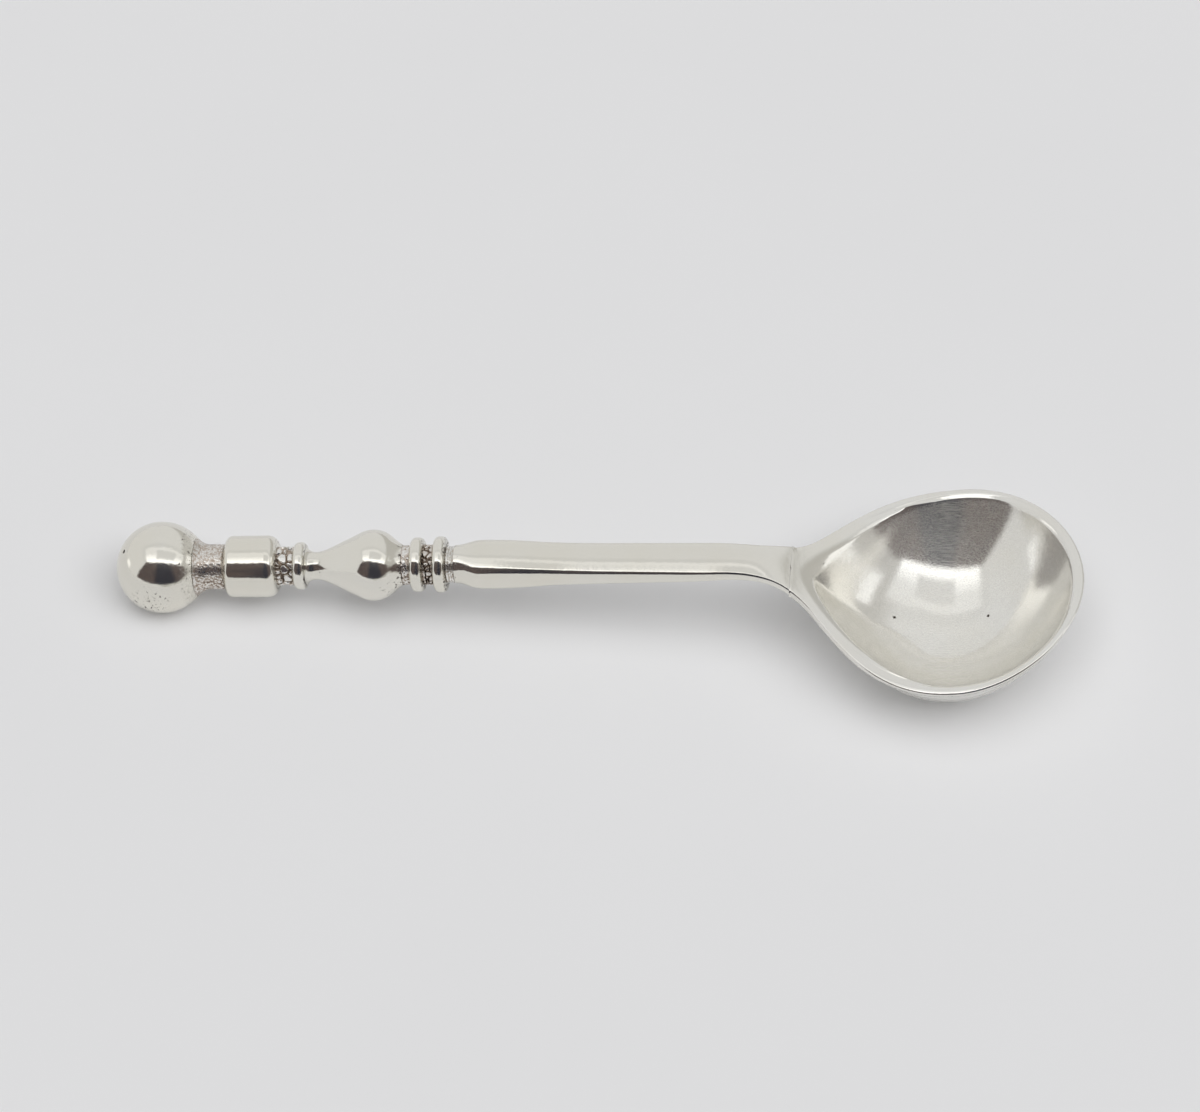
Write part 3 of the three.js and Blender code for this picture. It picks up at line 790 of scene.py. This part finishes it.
def section_outline(measures, tilt):
    """A rounded rectangle with a crowned top and a keel below, as (across, up) points. Tilt is
    the slope of the crown where it meets the corners."""
    width, thickness, corner, keel = measures
    corner = min(corner, 0.49 * min(width, thickness))
    right, low = width / 2 - corner, corner - thickness / 2
    edge = right + corner * math.sin(tilt)
    rise = math.tan(tilt) * edge / 2
    top = thickness / 2 + CROWN_LIFT * rise
    high = top - rise - corner * math.cos(tilt)
    square = math.pi / 2
    corners = (
        (right, high, 0, square - tilt), (-right, high, square + tilt, 2 * square),
        (-right, low, 2 * square, 3 * square), (right, low, 3 * square, 4 * square),
    )
    points = []
    for number, (across, up, start, end) in enumerate(corners):
        for step in range(CORNER_STEPS + 1):
            turn = mix(start, end, step / CORNER_STEPS)
            points.append((across + corner * math.cos(turn), up + corner * math.sin(turn)))
        for step in range(1, FLAT_STEPS):
            share = mix(-1, 1, step / FLAT_STEPS)
            if number == 0:
                points.append((-edge * share, top - rise * share ** 2))
            if number == 2:
                points.append((right * share, -thickness / 2 - keel * (1 - share ** 2)))
    return points


def stem_line(size):
    """Points of the stem's middle line: straight along the handle, then bent into the bowl."""
    start_height = size.ball_height + size.start["stem"] * math.sin(size.pitch)
    bend_start = size.stem_end - size.stem_bend
    rise = math.tan(size.pitch)
    start = Vector((size.stem_start, start_height))
    knee = Vector((bend_start, start_height + (bend_start - size.stem_start) * rise))
    root = Vector((size.stem_end, rim_height(size, size.stem_end) - size.root_thickness / 2))
    ease = size.stem_bend / 3
    fall = math.tan(size.root_slope)
    straight = round(STEM_ROWS * (1 - size.stem_bend / size.stem_length))
    line = [start.lerp(knee, step / straight) for step in range(straight)]
    return line + interpolate_bezier(
        knee, knee + Vector((ease, ease * rise)), root - Vector((ease, ease * fall)), root,
        STEM_ROWS - straight + 1,
    )


def root_stain(size, place):
    """Oxide left in the middle of the joint between stem and bowl, in a short crescent."""
    behind = place.x - size.bowl_start - 0.3 * place.y ** 2
    return 1.2 * fade(abs(behind), 0.2) * fade(abs(place.y), 1.2)


class SPOON_OT_stem(bpy.types.Operator):
    """Forged stem: nearly round at its shoulder, flat where it runs into the bowl"""

    bl_idname = "spoon.stem"
    bl_label = "Stem"

    def execute(self, context):
        size = sizes_and_places(context)
        sections = stem_sections(size)
        rings = []
        line = stem_line(size)
        for row, centre in enumerate(line):
            place = centre.x - size.stem_start
            measures = stem_size(size, sections, place)
            tilt = size.stem_crown * (1 - smooth(CROWN_FADE, 1, place / size.stem_length))
            lean = mix(size.pitch, 0, row / STEM_ROWS)
            rings.append([
                Vector((centre.x - up * math.sin(lean), across, centre.y + up * math.cos(lean)))
                for across, up in section_outline(measures, tilt)
            ])
        columns = len(rings[0])
        axis = handle_matrix(size).to_3x3() @ Vector((1, 0, 0))
        mouth = Vector((size.stem_start, 0, line[0].y))
        hole = [mouth + (point - mouth).normalized() * size.bore_radius for point in rings[0]]
        floor = [point + axis * size.stem_bore for point in hole]
        bottom = [mouth + axis * size.stem_bore] * columns
        end = [Vector((size.stem_end, 0, line[-1].y))] * columns
        rows = [bottom, floor, hole] + rings + [end]
        shape = warped_grid(columns + 1, len(rows), lambda column, row: rows[row][column % columns])
        clean_up(shape)
        for vert in shape.verts:
            if abs(vert.co.x - size.stem_end) < ON_PLANE:
                vert.co.x += size.reach
        hand_finish(shape, depth=0.02, spacing=3.5)
        mark(shape, "wear", lambda co: HANDLE_WEAR)
        mark(shape, "oxide", lambda co: 0.7 * fade(co.x - size.stem_start, 0.8))
        mark(shape, "oxide", lambda co: root_stain(size, co))
        finish_polished(context, shape, "silver_stem", "stem")
        return {"FINISHED"}


def half_outline(size, inset):
    """Near half of the bowl's outline from root to tip, seen from above: the outer one, or the
    hollow's where inset is the rim's width."""
    widest = size.bowl_start + size.bowl_widest
    side = Vector((widest, inset - size.bowl_width / 2))
    tip = Vector((size.bowl_tip - inset, 0))
    root_reach, back_reach, front_reach, tip_reach = 3.2, 7.9, 5.0, 5.2
    if inset:
        nose = Vector((size.bowl_start + size.hollow_start, 0))
        nose_reach, hollow_reach = 1.8, 7.0
        points = interpolate_bezier(
            nose, nose - Vector((0, nose_reach)), side - Vector((hollow_reach, 0)), side,
            FACE_STEPS + SIDE_STEPS + 1,
        )
    else:
        corner = Vector((size.bowl_start, -size.root_width / 2))
        middle = Vector((size.bowl_start, 0))
        flare = Vector((root_reach, -root_reach * math.tan(size.root_flare)))
        points = [middle.lerp(corner, step / FACE_STEPS) for step in range(FACE_STEPS)]
        points += interpolate_bezier(
            corner, corner + flare, side - Vector((back_reach, 0)), side, SIDE_STEPS + 1
        )
    front = interpolate_bezier(
        side, side + Vector((front_reach, 0)), tip - Vector((0, tip_reach)), tip, SIDE_STEPS + 1
    )
    return points + front[1:]


def heel_share(size, x):
    """1 at the root of the bowl, easing to 0 where the heel ends."""
    share = min(1, max(0, (x - size.bowl_start) / size.heel_length))
    return 1 - share ** 3 * (share * (6 * share - 15) + 10)


def wall_height(size, share, rim_point, bottom, flat, edge_drop, land_drop):
    """Height of a wall between the bowl's bottom and a point of its rim. Beyond the flat spot the
    wall is round. At the heel it ends short of the rim and rounds over onto the land, which slopes
    down from the stem. The wall's edge and the land lie below the rim by a drop each."""
    heel = heel_share(size, rim_point.x)
    edge = mix(1, size.heel_edge, heel)
    steep = math.sin(mix(size.wall_slope, size.heel_wall, heel))
    climb = max(0, share - flat) / (1 - flat)
    sine = min(STEEPEST_SINE, steep * climb / edge)
    rise = (1 - math.sqrt(1 - sine ** 2)) / (1 - math.sqrt(1 - steep ** 2))
    middle = size.bowl_start + size.bowl_middle
    wall = mix(bottom, rim_height(size, mix(middle, rim_point.x, edge)) - edge_drop, rise)
    if heel == 0:
        return wall
    land = rim_height(size, mix(middle, rim_point.x, share)) - land_drop
    rounding = size.heel_rounding * heel
    near = max(0, 1 - abs(wall - land) / rounding)
    return min(wall, land) - rounding * near ** 3 / 6 * (1 - share ** LAND_FADE)


def bowl_stations(size):
    """Rows of points across the bowl's wall, from the hollow's bottom over the rim to the
    outside's bottom. Each row runs along the near half of the outline, from root to tip."""
    middle = Vector((size.bowl_start + size.bowl_middle, 0))
    inner, outer = half_outline(size, size.rim_width), half_outline(size, 0)
    flat = size.bowl_rest / size.bowl_width
    rows = []

    def hollow_point(rim_point, share):
        height = wall_height(size, share, rim_point, size.bowl_bottom, 0, 0, 0)
        return Vector((*middle.lerp(rim_point, share), height))

    def outside_point(rim_point, share):
        on_root = rim_point.x < size.bowl_start + ON_PLANE
        keel = size.root_keel * (1 - (2 * rim_point.y / size.root_width) ** 2) if on_root else 0
        drop = mix(size.rim_edge, size.root_thickness, heel_share(size, rim_point.x))
        height = wall_height(size, share, rim_point, 0, flat, drop, drop + keel * share ** KEEL_FADE)
        return Vector((*middle.lerp(rim_point, share), height))

    def rim_top(rim_point, outer_point, share):
        """A point across the rim, whose crown fades out where the stem runs into it."""
        point = rim_point.lerp(outer_point, share)
        crown = size.rim_crown * (1 - heel_share(size, outer_point.x))
        return Vector((*point, rim_height(size, point.x) - crown * (2 * share - 1) ** 2))

    def rim_side(rim_point, outer_point, share):
        """A point down the rounding from the rim's crown to the outside."""
        heel = heel_share(size, outer_point.x)
        on_root = outer_point.x < size.bowl_start + ON_PLANE
        rounding = 0.0 if on_root else size.rim_rounding
        lean = math.atan(4 * size.rim_crown * (1 - heel) / size.rim_width)
        start = math.pi / 2 - lean
        turn = mix(start, RIM_UNDERCUT, share)
        out = (outer_point - rim_point).normalized()
        crown_end = rim_top(
            rim_point, outer_point, 1 - rounding * (1 - math.cos(start)) / size.rim_width
        )
        middle_height = crown_end.z - rounding * math.sin(start)
        spare = mix(size.rim_edge, size.root_thickness, heel) - 2 * rounding
        height = middle_height + rounding * math.sin(turn) - max(0, spare) * (turn < 0)
        return Vector((*(outer_point - out * rounding * (1 - math.cos(turn))), height))

    for row in range(HOLLOW_ROWS):
        share = WALL_END * row / (HOLLOW_ROWS - 1)
        rows.append([hollow_point(point, share) for point in inner])
    for step in range(EDGE_STEPS + 1):
        edge_row = []
        for rim_point, outer_point in zip(inner, outer):
            wall = hollow_point(rim_point, WALL_END)
            corner = rim_top(rim_point, outer_point, 0)
            inward = rim_top(rim_point, outer_point, RIM_START)
            edge_row.append(bend(wall, corner, inward, EDGE_STEPS)[step])
        rows.append(edge_row)
    for step in range(1, 2 * EDGE_STEPS):
        share = mix(RIM_START, RIM_END, step / (2 * EDGE_STEPS))
        rows.append([rim_top(*pair, share) for pair in zip(inner, outer)])
    for step in range(2 * EDGE_STEPS + 1):
        rows.append([rim_side(*pair, step / (2 * EDGE_STEPS)) for pair in zip(inner, outer)])
    for row in range(WALL_ROWS):
        share = mix(WALL_END, 0, row / (WALL_ROWS - 1))
        rows.append([outside_point(point, share) for point in outer])
    return rows


def in_hollow(size, place):
    """1 inside the bowl, 0 on its rim and outside."""
    below_rim = rim_height(size, place.x) - place.z
    side = 1 - (2 * place.y / (size.bowl_width - 2 * size.rim_width)) ** 2
    return smooth(0.05, 0.5, below_rim) * smooth(0, 0.05, side) * (place.z > size.bowl_bottom - 0.1)


class SPOON_OT_bowl(bpy.types.Operator):
    """Raised bowl with a filed, slightly crowned rim and a worn spot below"""

    bl_idname = "spoon.bowl"
    bl_label = "Bowl"

    def execute(self, context):
        size = sizes_and_places(context)
        rows = bowl_stations(size)
        shape = warped_grid(len(rows[0]), len(rows), lambda column, row: rows[row][column])
        geometry = shape.verts[:] + shape.edges[:] + shape.faces[:]
        bmesh.ops.mirror(shape, geom=geometry, axis="Y", merge_dist=MERGE_DISTANCE)
        clean_up(shape)
        for vert in shape.verts:
            if abs(vert.co.x - size.bowl_start) < ON_PLANE:
                vert.co.x -= size.reach
        hand_finish(shape, depth=0.012, spacing=4.0)
        for vert in shape.verts:
            vert.co.z = max(0, vert.co.z)
        mark(shape, "wear", lambda co: HANDLE_WEAR + (1 - HANDLE_WEAR) * in_hollow(size, co))
        mark(shape, "oxide", lambda co: root_stain(size, co))
        for pit in HOLLOW_PITS:
            place = Vector((size.bowl_start, 0, 0)) + Vector(pit)
            mark(shape, "oxide", lambda co: 1.6 * fade((co - place).length, 0.32))
        finish_polished(context, shape, "silver_bowl", "bowl")
        return {"FINISHED"}


class SPOON_OT_core_pin(bpy.types.Operator):
    """Finish of the core pin, which stays as the frame has it"""

    bl_idname = "spoon.core_pin"
    bl_label = "Core pin"

    def execute(self, context):
        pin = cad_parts["core_pin"]
        pin.data.materials.clear()
        pin.data.materials.append(drawn_wire(context.scene.spoon_colours))
        return {"FINISHED"}


# Stage

CAMERA_ELEVATION = math.radians(50)
CAMERA_AZIMUTH = math.radians(4.6)
CAMERA_DISTANCE = 0.45
CAMERA_TARGET = Vector((-0.00001, 0.003386, 0.003974))
CAMERA_LENS = 174.4
FLOOR_SIDE = 6.0
PAPER_LIFT = 0.12
BACK_LAMPS = 0.9
FRONT_LAMPS = 1.6
SIDE_LAMPS = 1.2
SOFTBOX_BACK = 1.05
SOFTBOX_FRONT = 3.15
FILL = 0.18


def window(add, *limits, within=None):
    """1 where each angle lies between its two limits, with soft edges, all in degrees, and 0
    elsewhere. Another window inside which it lies can take the place of the 1."""
    for source, *degrees in limits:
        low, high, soft = map(math.radians, degrees)
        rise = add(
            "MapRange", {"From Min": low - soft, "From Max": low + soft},
            {"Value": source, "To Max": within} if within else {"Value": source},
            interpolation_type="SMOOTHSTEP",
        )
        fall = add(
            "MapRange",
            {"From Min": high - soft, "From Max": high + soft, "To Min": 1.0, "To Max": 0.0},
            {"Value": source}, interpolation_type="SMOOTHSTEP",
        )
        within = add("Math", links={0: rise, 1: fall}, operation="MULTIPLY")
    return within


def light_tent(colours):
    """A pale tent with a frame of lamps round a diffuser in its roof, a low lamp at each side and a
    dark opening at its front, for the mirror finish to show. The camera itself sees a plain pale
    background."""
    world = bpy.data.worlds.new("light_tent")
    world.use_nodes = True
    world.node_tree.nodes.clear()
    add = partial(add_node, world.node_tree)
    coordinates = add("TexCoord", output="Generated")
    way = add("SeparateXYZ", links={0: coordinates}).node.outputs
    front = add("Math", {1: -1.0}, {0: way["Y"]}, operation="MULTIPLY")
    azimuth = add("Math", links={0: way["X"], 1: front}, operation="ARCTAN2")
    elevation = add("Math", links={0: way["Z"]}, operation="ARCSINE")
    # Slopes from straight up, to the right side and to the front, make windows with straight edges
    side_slope = add("Math", links={0: way["X"], 1: way["Z"]}, operation="ARCTAN2")
    front_slope = add("Math", links={0: front, 1: way["Z"]}, operation="ARCTAN2")
    roof = window(add, (side_slope, -45, 70, 6), (front_slope, -24, 29, 3))
    walls = add("Mix", {6: rgba(colours.tent), 7: rgba(colours.panel)}, {0: roof}, **COLOUR_MIX)
    side_wall = window(add, (side_slope, 50, 95, 8))
    shaded = add("Mix", {7: rgba(colours.side)}, {0: side_wall, 6: walls}, **COLOUR_MIX)
    # The opening is darkest in the middle, and blotched
    opening = window(add, (azimuth, -57, 75, 3), (elevation, 5, 89, 1), (front_slope, 28, 91, 1))
    shade = window(add, (azimuth, -12, 40, 8))
    dark = add("Mix", {6: rgba(colours.opening), 7: rgba(colours.shade)}, {0: shade}, **COLOUR_MIX)
    blotches = add("TexNoise", {"Scale": 6.0, "Detail": 3.0}, {"Vector": coordinates})
    blotched = add("Mix", {7: rgba(colours.shade)}, {0: blotches, 6: dark}, **COLOUR_MIX)
    darkened = add("Mix", links={0: opening, 6: shaded, 7: blotched}, **COLOUR_MIX)
    # A low lamp stands behind each side wall
    right_lamp = window(add, (elevation, 4, 26, 2), (azimuth, 88, 106, 2))
    left_lamp = window(add, (elevation, 1, 9, 1), (azimuth, -99, -84, 2))
    side_lamps = add("Math", links={0: right_lamp, 1: left_lamp}, operation="MAXIMUM")
    lit_walls = add("Mix", {7: rgba([SIDE_LAMPS] * 3)}, {0: side_lamps, 6: darkened}, **COLOUR_MIX)
    # The roof's lamps make a frame, and those nearest the front are the brightest
    lamp_frame = window(add, (side_slope, -38, 56, 2), (front_slope, -12.5, 28.5, 2))
    inside = window(add, (side_slope, -10, 36, 2), (front_slope, -4, 18.5, 2), within=lamp_frame)
    lamps = add("Math", links={0: lamp_frame, 1: inside}, operation="SUBTRACT")
    strength = add(
        "MapRange",
        {"From Min": math.radians(5), "From Max": math.radians(26),
         "To Min": BACK_LAMPS, "To Max": FRONT_LAMPS},
        {"Value": front_slope},
    )
    around = add("Mix", links={0: lamps, 6: lit_walls, 7: strength}, **COLOUR_MIX)
    # Matt things take a soft light from the roof, strongest at its front, and the silver shows the tent
    roof_light = add(
        "MapRange",
        {"From Min": math.radians(-5), "From Max": math.radians(20),
         "To Min": SOFTBOX_BACK, "To Max": SOFTBOX_FRONT},
        {"Value": front_slope},
    )
    lit_roof = window(add, (side_slope, -22, 48, 2), (front_slope, -13, 37, 2), within=roof_light)
    softbox = add("Math", {1: FILL}, {0: lit_roof}, operation="ADD")
    path = add("LightPath").node.outputs
    lit = add("Mix", links={0: path["Is Glossy Ray"], 6: softbox, 7: around}, **COLOUR_MIX)
    seen = add("Mix", {7: rgba(colours.tent)}, {0: path["Is Camera Ray"], 6: lit}, **COLOUR_MIX)
    background = add("Background", links={"Color": seen})
    add("OutputWorld", links={"Surface": background})
    return world


class SPOON_OT_stage(bpy.types.Operator):
    """Pale floor, light tent and camera"""

    bl_idname = "spoon.stage"
    bl_label = "Stage"

    def execute(self, context):
        scene = context.scene
        scene.view_settings.view_transform = "Standard"
        shape = bmesh.new()
        bmesh.ops.create_grid(shape, x_segments=1, y_segments=1, size=FLOOR_SIDE / 2)
        mesh = bpy.data.meshes.new("paper_floor")
        shape.to_mesh(mesh)
        shape.free()
        mesh.materials.append(pale_paper(scene.spoon_colours))
        floor = bpy.data.objects.new("paper_floor", mesh)
        scene.collection.objects.link(floor)
        scene.world = light_tent(scene.spoon_colours)
        back = Vector((
            math.sin(CAMERA_AZIMUTH) * math.cos(CAMERA_ELEVATION),
            -math.cos(CAMERA_AZIMUTH) * math.cos(CAMERA_ELEVATION),
            math.sin(CAMERA_ELEVATION),
        ))
        camera = bpy.data.objects.new("camera", bpy.data.cameras.new("camera"))
        camera.data.lens = CAMERA_LENS
        camera.data.clip_start = 0.01
        camera.location = CAMERA_TARGET + back * CAMERA_DISTANCE
        camera.rotation_mode = "QUATERNION"
        camera.rotation_quaternion = (-back).to_track_quat("-Z", "Y")
        scene.collection.objects.link(camera)
        scene.camera = camera
        return {"FINISHED"}


class SPOON_PT_panel(bpy.types.Panel):
    """Lists the spoon's pieces, sizes and colours"""

    bl_idname = "SPOON_PT_panel"
    bl_label = "Condiment spoon"
    bl_space_type = "VIEW_3D"
    bl_region_type = "UI"
    bl_category = "Spoon"

    def draw(self, context):
        for operator in OPERATORS:
            self.layout.operator(operator.bl_idname)
        for group in (context.scene.spoon_sizes, context.scene.spoon_colours):
            for name in group.__annotations__:
                self.layout.prop(group, name)


OPERATORS = (
    SPOON_OT_ball, SPOON_OT_necks, SPOON_OT_barrel, SPOON_OT_rings, SPOON_OT_knop, SPOON_OT_stem,
    SPOON_OT_bowl, SPOON_OT_core_pin, SPOON_OT_stage,
)
CLASSES = (SpoonSizes, SpoonColours, *OPERATORS, SPOON_PT_panel)


def register():
    for cls in CLASSES:
        bpy.utils.register_class(cls)
    bpy.types.Scene.spoon_sizes = PointerProperty(type=SpoonSizes)
    bpy.types.Scene.spoon_colours = PointerProperty(type=SpoonColours)


def unregister():
    del bpy.types.Scene.spoon_colours
    del bpy.types.Scene.spoon_sizes
    for cls in reversed(CLASSES):
        bpy.utils.unregister_class(cls)


def main():
    """Builds every piece in order."""
    register()
    for operator in OPERATORS:
        group, name = operator.bl_idname.split(".")
        getattr(getattr(bpy.ops, group), name)()


if __name__ == "__main__":
    main()
